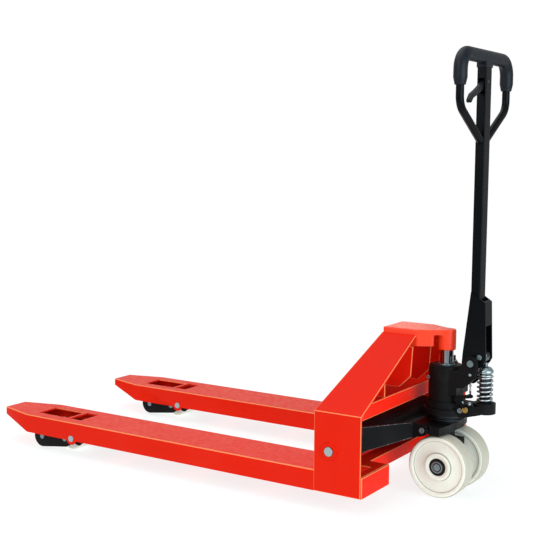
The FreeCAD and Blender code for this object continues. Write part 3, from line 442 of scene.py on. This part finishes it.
# ---- frame ----
def round_fork(made):
    """The long upper edges of a fork are folded with a visible radius and carry a painted highlight."""
    top = max(vertex.co.z for vertex in made.verts)
    long_rim(made, length=0.09, width=0.0025, level=top - 0.001)


def round_panels(made):
    """The outer rims of the side panels and the fold below the shoulder carry a painted highlight."""
    outer = max(abs(vertex.co.y) for vertex in made.verts)
    shoulder_end = 0.433

    def chosen(edge):
        ends = [vertex.co for vertex in edge.verts]
        outside = all(abs(end.y) > outer - 0.009 or end.z > shoulder_end for end in ends)
        return outside and fold_angle(edge) > SHARP_FOLD and edge.calc_length() > 0.12

    round_edges(made, chosen, width=0.0014, segments=3, look=EDGE_LOOK)


def round_head(made):
    """The upper rim of the head casting and of its boss is rolled over with a large radius."""
    top = max(vertex.co.z for vertex in made.verts)

    def chosen(edge):
        return fold_angle(edge) > 0.6 and all(vertex.co.z > top - 0.0015 for vertex in edge.verts)

    round_edges(made, chosen, width=0.007, segments=5, clamp=True)


def round_rocker(made):
    """The long edges of the rocker arms are worn, and their lighter edge paint is also a painted highlight.
    """
    long_rim(made, length=0.1, width=0.0014)


def frame_welds():
    """Weld beads at the fork heels, round the shaft collars and round the seat of the head casting."""
    collar_low, collar_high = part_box("shaft_collars")
    shaft_x = (collar_low.x + collar_high.x) / 2
    shaft_z = (collar_low.z + collar_high.z) / 2
    collar_radius = (collar_high.z - collar_low.z) / 2
    bulkhead_low, bulkhead_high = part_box("bulkhead")
    fork_low, fork_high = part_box("fork_right")
    panel_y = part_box("side_panels")[1].y
    heel_x = bulkhead_low.x - 0.0004
    heel_z = fork_high.z + 0.0002
    for sign in (-1, 1):
        heel = [(heel_x, sign * fork_low.y, heel_z), (heel_x, sign * bulkhead_high.y, heel_z)]
        weld_bead("heel_weld_%d" % sign, heel, 0.0024, "frame", red_inner_painted_light)
        ring = ring_path((shaft_x, sign * panel_y, shaft_z), collar_radius + 0.0006)
        weld_bead("collar_weld_%d" % sign, ring, 0.0018, "frame", red_paint)
    seat_half, seat_low, seat_high = 0.0605, 0.4022, 0.4240
    plate_low_x, plate_high_x = 0.4494, 0.4562
    seat = [(plate_high_x, seat_half, seat_high), (plate_low_x, seat_half, seat_low),
            (plate_low_x, -seat_half, seat_low), (plate_high_x, -seat_half, seat_high)]
    weld_bead("head_weld", seat, 0.0032, "frame", red_inner_painted_light)


for label in ("left", "right"):
    from_node("fork_" + label, red_paint, width=0.0020, segments=3, edge=red_edge_highlight, prepare=round_fork,
              weld=SHEET_WELD)
from_node("side_panels", red_paint, width=0.0018, segments=3, edge=red_edge_highlight, prepare=round_panels,
          weld=SHEET_WELD)
for name in ("bulkhead", "rear_beam", "lower_member", "frame_ribs", "fork_stiffeners"):
    from_node(name, red_inner_painted_light, width=0.0016, segments=3, edge=red_edge_highlight, weld=SHEET_WELD)
remeshed("head_casting", red_cast_painted_light, voxel=0.0016, rounds=22, prepare=round_head)
from_node("shaft_collars", red_paint, width=0.0012, segments=3)
from_node("thrust_plate", black_cast, width=0.002, segments=3, edge=dark_enamel_and_edge_highlight)
from_node("rocker", black_paint, width=0.0017, segments=3, edge=worn_edge_and_highlight, prepare=round_rocker)
from_node("rocker_pins", zinc_dull, width=0.0008, segments=2)
from_node("rocker_shaft", zinc, width=0.0012, segments=2)
from_node("bracket_pins", zinc, width=0.0009, segments=2)
from_node("bracket_spacers", zinc_dull, width=0.0006, segments=2)
from_node("lift_ram", chrome, width=0.001, segments=2)
for label in ("left", "right"):
    from_node("push_rod_" + label, black_paint, width=0.001, segments=2, edge=dark_enamel_and_edge_highlight)
    from_node("roller_bracket_" + label, black_paint, width=0.0012, segments=3, edge=dark_enamel_and_edge_highlight)
    from_node("bracket_axles_" + label, zinc_dull, width=0.0008, segments=2)
frame_welds()


# ---- pump ----
def dark_plugs(made):
    """The filler plug on top of the pump is black; the socket of the plug by the valve is darkened as painted
    shade.
    """
    filler_height = 0.33
    socket_x, socket_z, socket_reach = 0.6795, 0.238, 0.0035
    for face in made.faces:
        spot = face.calc_center_median()
        in_socket = math.hypot(spot.x - socket_x, spot.z - socket_z) < socket_reach
        if spot.z > filler_height or in_socket:
            face.material_index = SECOND_LOOK


from_node("pump_housing", black_cast, width=0.0014, segments=3, edge=dark_enamel_and_edge_highlight)
from_node("bearing_washer_lower", race_steel, width=0.0005, segments=2)
# The lighter steel edge on the dark upper washer is a painted highlight.
from_node("bearing_washer_upper", race_steel, width=0.0005, segments=2, edge=steel)
from_node("reservoir_cap", black_cast, width=0.0015, segments=3)
from_node("ram_gland", zinc_dull, width=0.0008, segments=2)
from_node("pump_plugs", zinc, width=0.0012, segments=2, edge=zinc, prepare=dark_plugs, second=dark_enamel_and_edge_highlight)
from_node("valve_seat", brass, width=0.0006, segments=2)
from_node("valve_bracket", black_paint, width=0.0006, segments=2)
from_node("pump_screws", zinc, width=0.0005, segments=2)
# The bright zinc edge on the dull bolt is a painted highlight.
from_node("pivot_bolt", zinc_dull, width=0.0014, segments=2, edge=zinc)
from_node("steer_axle", zinc_dull, width=0.003, segments=2, edge=race_steel)
from_node("axle_circlips", steel, width=0.0003, segments=2)
from_node("ball_ring", race_steel, width=0.0002, segments=1)
from_node("release_lever", black_paint, width=0.0006, segments=2)
from_node("pull_chain", spring_wire, width=0.0004, segments=2)

# ---- handle ----
from_node("handle_bracket", handle_paint, width=0.0012, segments=3, edge=dark_enamel_and_edge_highlight)
from_node("handle_tube", handle_paint, width=0.0008, segments=3, angle=40)
from_node("handle_bushes", brass, width=0.0004, segments=2)
# The lighter steel edge on the dark pump roller is a painted highlight.
from_node("pump_roller", race_steel, width=0.0014, segments=3, edge=steel)
# The bright zinc edge on the dull bolt is a painted highlight.
from_node("roller_bolt", zinc_dull, width=0.0014, segments=2, edge=zinc)
from_node("trigger_pin", zinc_dull, width=0.0004, segments=2)
from_node("grip", grip_plastic, width=0.001, segments=3, angle=40)
from_node("trigger", trigger_plastic, width=0.0025, segments=4, angle=40)

# ---- wheels ----
WHEEL_RADIUS = 0.085
WHEEL_HALF = 0.0255
WHEEL_BORE = 0.024
# Bands of the wheel section that take the painted shade at its steps and shoulder.
CORNER_SHADE_BANDS = (2, 3, 6, 11)
TREAD_BANDS = (12, 13, 14)
ROLLER_RADIUS = 0.04
ROLLER_HALF = 0.036


def mirrored(side):
    """A whole section from its half, as (radius, offset) pairs."""
    return side + [(radius, -offset) for radius, offset in reversed(side)]


def mirrored_bands(chosen, count):
    """The chosen bands of a half section with count points, and the same bands of its mirror image."""
    return tuple(chosen) + tuple(2 * count - 2 - band for band in chosen)


def steer_wheel(label):
    """A cast wheel: hub face, sunk web, raised rim with rounded shoulders, and tread."""
    name = "steer_wheel_" + label
    half = WHEEL_HALF
    hub = [(WHEEL_BORE, half - 0.0012), (0.0350, half - 0.0012), (0.0372, half - 0.0022)]
    web = [(0.0382, half - 0.0058), (0.0392, half - 0.0066), (0.0665, half - 0.0062), (0.0690, half - 0.0056)]
    rim = [(0.0705, half - 0.0040), (0.0722, half - 0.0008), (0.0738, half), (0.0800, half)]
    shoulder = [(0.0816, half - 0.0006), (0.0824, half - 0.0014), (0.0846, half - 0.0046),
                (WHEEL_RADIUS, half - 0.0062)]
    side = hub + web + rim + shoulder
    bands = [(cream_corner_shade, mirrored_bands(CORNER_SHADE_BANDS, len(side))),
             (cream_tread_shade, mirrored_bands(TREAD_BANDS, len(side)))]
    lathe(name + ".look", mirrored(side), middle(name), "Y", name, cream, [name], steps=128,
          bands=bands)


def ball_bearing(name, centre, body, outer, inner, width, node):
    """Outer ring, seal and inner ring of a small ball bearing, turned about Y."""
    half = width / 2
    wall = (outer - inner) * 0.24
    seal_in, seal_out = inner + wall, outer - wall * 0.5
    lathe(name, [(inner, -half), (seal_in, -half), (seal_in, half), (inner, half)], centre, "Y", body,
          race_steel, steps=64)
    lathe(name + "_ring", [(seal_out, -half), (outer, -half), (outer, half), (seal_out, half)], centre, "Y",
          body, race_steel, steps=64)
    lip = half - 0.0008
    groove = half - 0.0014
    mid = (seal_in + seal_out) / 2
    near_side = [(seal_in, -lip), (mid - 0.001, -lip), (mid, -groove), (mid + 0.001, -lip), (seal_out, -lip)]
    lathe(name + "_seal", mirrored(near_side), centre, "Y", body, seal, [node], steps=64)


def bearing_pair(name, node, centre, body, outer, inner, width, inset):
    """The two bearings of a wheel; inset is how far the middle of each lies from the end of the node."""
    low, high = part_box(node)
    for number, y in enumerate((low.y + inset, high.y - inset)):
        ball_bearing("%s_%d" % (name, number), (centre.x, y, centre.z), body, outer, inner, width, node)


def load_roller(place, label):
    """A load roller with its two sunk bearings."""
    name = "load_roller_%s_%s" % (place, label)
    bearings = "roller_bearings_%s_%s" % (place, label)
    centre = middle(name)
    half = ROLLER_HALF
    side = [(0.013, half - 0.014), (0.02, half - 0.014), (0.02, half - 0.0004), (0.0215, half),
            (0.0365, half), (0.0387, half - 0.0007), (0.0397, half - 0.002), (ROLLER_RADIUS, half - 0.004)]
    lathe(name + ".look", mirrored(side), centre, "Y", name, cream, [name], steps=96)
    bearing_pair("roller_bearing_%s_%s" % (place, label), bearings, centre, name, outer=0.02, inner=0.0081,
                 width=0.0125, inset=0.0065)


for label in ("left", "right"):
    steer_wheel(label)
for label in ("left", "right"):
    bearings = "steer_bearings_" + label
    bearing_pair("steer_bearing_" + label, bearings, middle(bearings), "steer_wheel_" + label, outer=0.024,
                 inner=0.0126, width=0.012, inset=0.006)
    for place in ("front", "rear"):
        load_roller(place, label)

# ---- plunger and spring ----
SPRING_TURNS = 7.0
STEPS_PER_TURN = 40
WIRE_RADIUS = 0.0025
COIL_RADIUS = 0.0195
END_RISE = 0.42
CAP_LOW = 0.341
RIM_TOP = 0.350
DOME_TOP = 0.359
CAP_RADIUS = 0.0215
SKIRT_LOW = 0.292
SKIRT_TOP = 0.333
SKIRT_RADIUS = 0.0156
SKIRT_BORE = 0.0143
STEM_RADIUS = 0.0087


def coil_rise(share):
    """Height along the spring from 0 to 1; the first and the last turn are nearly closed."""
    closed = 1.0 / SPRING_TURNS
    if share < closed:
        return END_RISE * closed * (share / closed) ** 2
    if share > 1 - closed:
        return 1 - END_RISE * closed * ((1 - share) / closed) ** 2
    return END_RISE * closed + (share - closed) * (1 - 2 * END_RISE * closed) / (1 - 2 * closed)


def plunger_spring(spring_x):
    """The coil, built once at the length it has in the model and carried by the plunger body; the piece does
    not shorten as the plunger goes down.
    """
    low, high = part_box("plunger_spring")
    steps = int(SPRING_TURNS * STEPS_PER_TURN)
    span = high.z - low.z - 2 * WIRE_RADIUS
    coil = []
    for step in range(steps + 1):
        share = step / steps
        angle = math.tau * SPRING_TURNS * share
        coil.append((spring_x + COIL_RADIUS * math.cos(angle), COIL_RADIUS * math.sin(angle),
                     low.z + WIRE_RADIUS + coil_rise(share) * span))
    spring = tube("plunger_spring.look", coil, WIRE_RADIUS, "plunger", spring_wire, 16, ["plunger_spring"])
    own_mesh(spring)


def plunger_cap(centre_x, top):
    """The plated cap: rim, dome and the neck that the pump roller presses."""
    rim = [(0.0085, CAP_LOW), (CAP_RADIUS - 0.0008, CAP_LOW), (CAP_RADIUS, CAP_LOW + 0.0008),
           (CAP_RADIUS, RIM_TOP - 0.001), (CAP_RADIUS - 0.001, RIM_TOP), (0.0195, RIM_TOP + 0.0006)]
    dome = [(0.0178, RIM_TOP + 0.004), (0.0145, RIM_TOP + 0.0068), (0.0105, DOME_TOP - 0.0008),
            (0.0075, DOME_TOP), (0.0052, DOME_TOP + 0.001)]
    neck = [(0.005, top - 0.001), (0.004, top), (0.001, top)]
    lathe("plunger_cap", rim + dome + neck, (centre_x, 0, 0), "Z", "plunger", zinc, ["plunger"],
          steps=64)


def plunger_stem(centre_x, bottom):
    """The stem and the dark skirt that runs over the guide."""
    core = [(0.001, bottom), (STEM_RADIUS - 0.0005, bottom), (STEM_RADIUS, bottom + 0.0005),
            (STEM_RADIUS, SKIRT_TOP)]
    skirt = [(SKIRT_BORE, SKIRT_TOP), (SKIRT_BORE, SKIRT_LOW + 0.0004), (SKIRT_BORE + 0.0004, SKIRT_LOW),
             (SKIRT_RADIUS - 0.0004, SKIRT_LOW), (SKIRT_RADIUS, SKIRT_LOW + 0.0004),
             (SKIRT_RADIUS, CAP_LOW + 0.001)]
    axis_end = [(0.001, CAP_LOW + 0.001)]
    skirt_bands = range(len(core) - 1, len(core) + len(skirt) - 1)
    lathe("plunger_stem", core + skirt + axis_end, (centre_x, 0, 0), "Z", "plunger", race_steel, ["plunger"],
          steps=48, bands=[(dark_enamel_and_edge_highlight, skirt_bands)])


spring_low, spring_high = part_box("plunger_spring")
plunger_low, plunger_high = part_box("plunger")
plunger_x = (spring_low.x + spring_high.x) / 2
plunger_spring(plunger_x)
plunger_cap(plunger_x, plunger_high.z)
plunger_stem(plunger_x, plunger_low.z)

# ---- stage ----
bpy.context.scene.view_settings.view_transform = "Standard"

FLOOR_HALF = 14
FLOOR_DROP = 0.0002
FADE_START = 1.5
FADE_END = 2.8
WORLD_LIGHT = 0.46

floor_mesh = bpy.data.meshes.new("floor")
floor_shape = bmesh.new()
bmesh.ops.create_grid(floor_shape, x_segments=1, y_segments=1, size=FLOOR_HALF)
floor_shape.to_mesh(floor_mesh)
floor_shape.free()
floor = bpy.data.objects.new("floor", floor_mesh)
floor.location = (0, 0, -FLOOR_DROP)
bpy.context.scene.collection.objects.link(floor)
floor_look = Shader("studio_floor", (0.27, 0.27, 0.27), roughness=0.9, specular=0.05)
floor_look.colour(floor_look.mix(floor_look.noise(3, 2.0), (0.265, 0.265, 0.265), (0.275, 0.275, 0.275)))
floor_look.set("Emission Color", (0.97, 1.0, 1.0, 1))
floor_look.set("Emission Strength", 0.8)
distance = floor_look.tree.nodes.new("ShaderNodeVectorMath")
distance.operation = "LENGTH"
floor_look.link(floor_look.place, distance.inputs[0])
fade = floor_look.spread(distance.outputs["Value"], 1.0, 0.0, low_in=FADE_START, high_in=FADE_END)
floor_look.link(fade, floor_look.shader.inputs["Alpha"])
floor_mesh.materials.append(floor_look.material)


def soft_light(name, place, target, size, watts, colour=(1, 1, 1)):
    data = bpy.data.lights.new(name, "AREA")
    data.shape = "RECTANGLE"
    data.size, data.size_y = size
    data.energy = watts
    data.color = colour
    lamp = bpy.data.objects.new(name, data)
    lamp.location = place
    lamp.rotation_euler = (Vector(target) - Vector(place)).to_track_quat("-Z", "Y").to_euler()
    bpy.context.scene.collection.objects.link(lamp)


soft_light("top_light", place=(-0.6, -0.4, 3.6), target=(0, 0, 0.2), size=(4.2, 3.4), watts=60)
soft_light("key_light", place=(-0.2, -3.4, 2.2), target=(0.2, 0, 0.4), size=(2.4, 1.8), watts=34)
soft_light("back_light", place=(-2.8, 3.4, 1.5), target=(0.2, 0, 0.3), size=(3.6, 1.8), watts=20,
           colour=(1.0, 0.84, 0.66))
soft_light("right_light", place=(3.2, -1.0, 1.0), target=(0.4, 0, 0.35), size=(2.6, 2.2), watts=66,
           colour=(0.72, 0.90, 1.0))

world = bpy.data.worlds.new("studio")
bpy.context.scene.world = world
world.use_nodes = True
world_nodes = world.node_tree
world_nodes.nodes.clear()
sky_out = world_nodes.nodes.new("ShaderNodeOutputWorld")
seen = world_nodes.nodes.new("ShaderNodeBackground")
lit = world_nodes.nodes.new("ShaderNodeBackground")
seen.inputs[0].default_value = (1, 1, 1, 1)
seen.inputs[1].default_value = 1.0
lit.inputs[0].default_value = (1, 1, 1, 1)
lit.inputs[1].default_value = WORLD_LIGHT
ray = world_nodes.nodes.new("ShaderNodeLightPath")
choose = world_nodes.nodes.new("ShaderNodeMixShader")
world_nodes.links.new(ray.outputs["Is Camera Ray"], choose.inputs[0])
world_nodes.links.new(lit.outputs[0], choose.inputs[1])
world_nodes.links.new(seen.outputs[0], choose.inputs[2])
world_nodes.links.new(choose.outputs[0], sky_out.inputs[0])

# ---- camera ----
CAMERA_PLACE = Vector((1.7713, -2.6947, 0.9213))
CAMERA_YAW = math.radians(122.853)
CAMERA_PITCH = math.radians(-6.019)
CAMERA_ROLL = math.radians(0.490)
forward = Vector((math.cos(CAMERA_PITCH) * math.cos(CAMERA_YAW),
                  math.cos(CAMERA_PITCH) * math.sin(CAMERA_YAW), math.sin(CAMERA_PITCH)))
right = forward.cross(Vector((0, 0, 1))).normalized()
up = right.cross(forward)
turned_right = right * math.cos(CAMERA_ROLL) + up * math.sin(CAMERA_ROLL)
turned_up = up * math.cos(CAMERA_ROLL) - right * math.sin(CAMERA_ROLL)
lens = bpy.data.cameras.new("camera")
lens.sensor_width = 36
lens.lens = 72.28
camera = bpy.data.objects.new("camera", lens)
turn = Matrix((turned_right, turned_up, -forward)).transposed()
camera.matrix_world = Matrix.Translation(CAMERA_PLACE) @ turn.to_4x4()
bpy.context.scene.collection.objects.link(camera)
bpy.context.scene.camera = camera

bpy.context.view_layer.update()
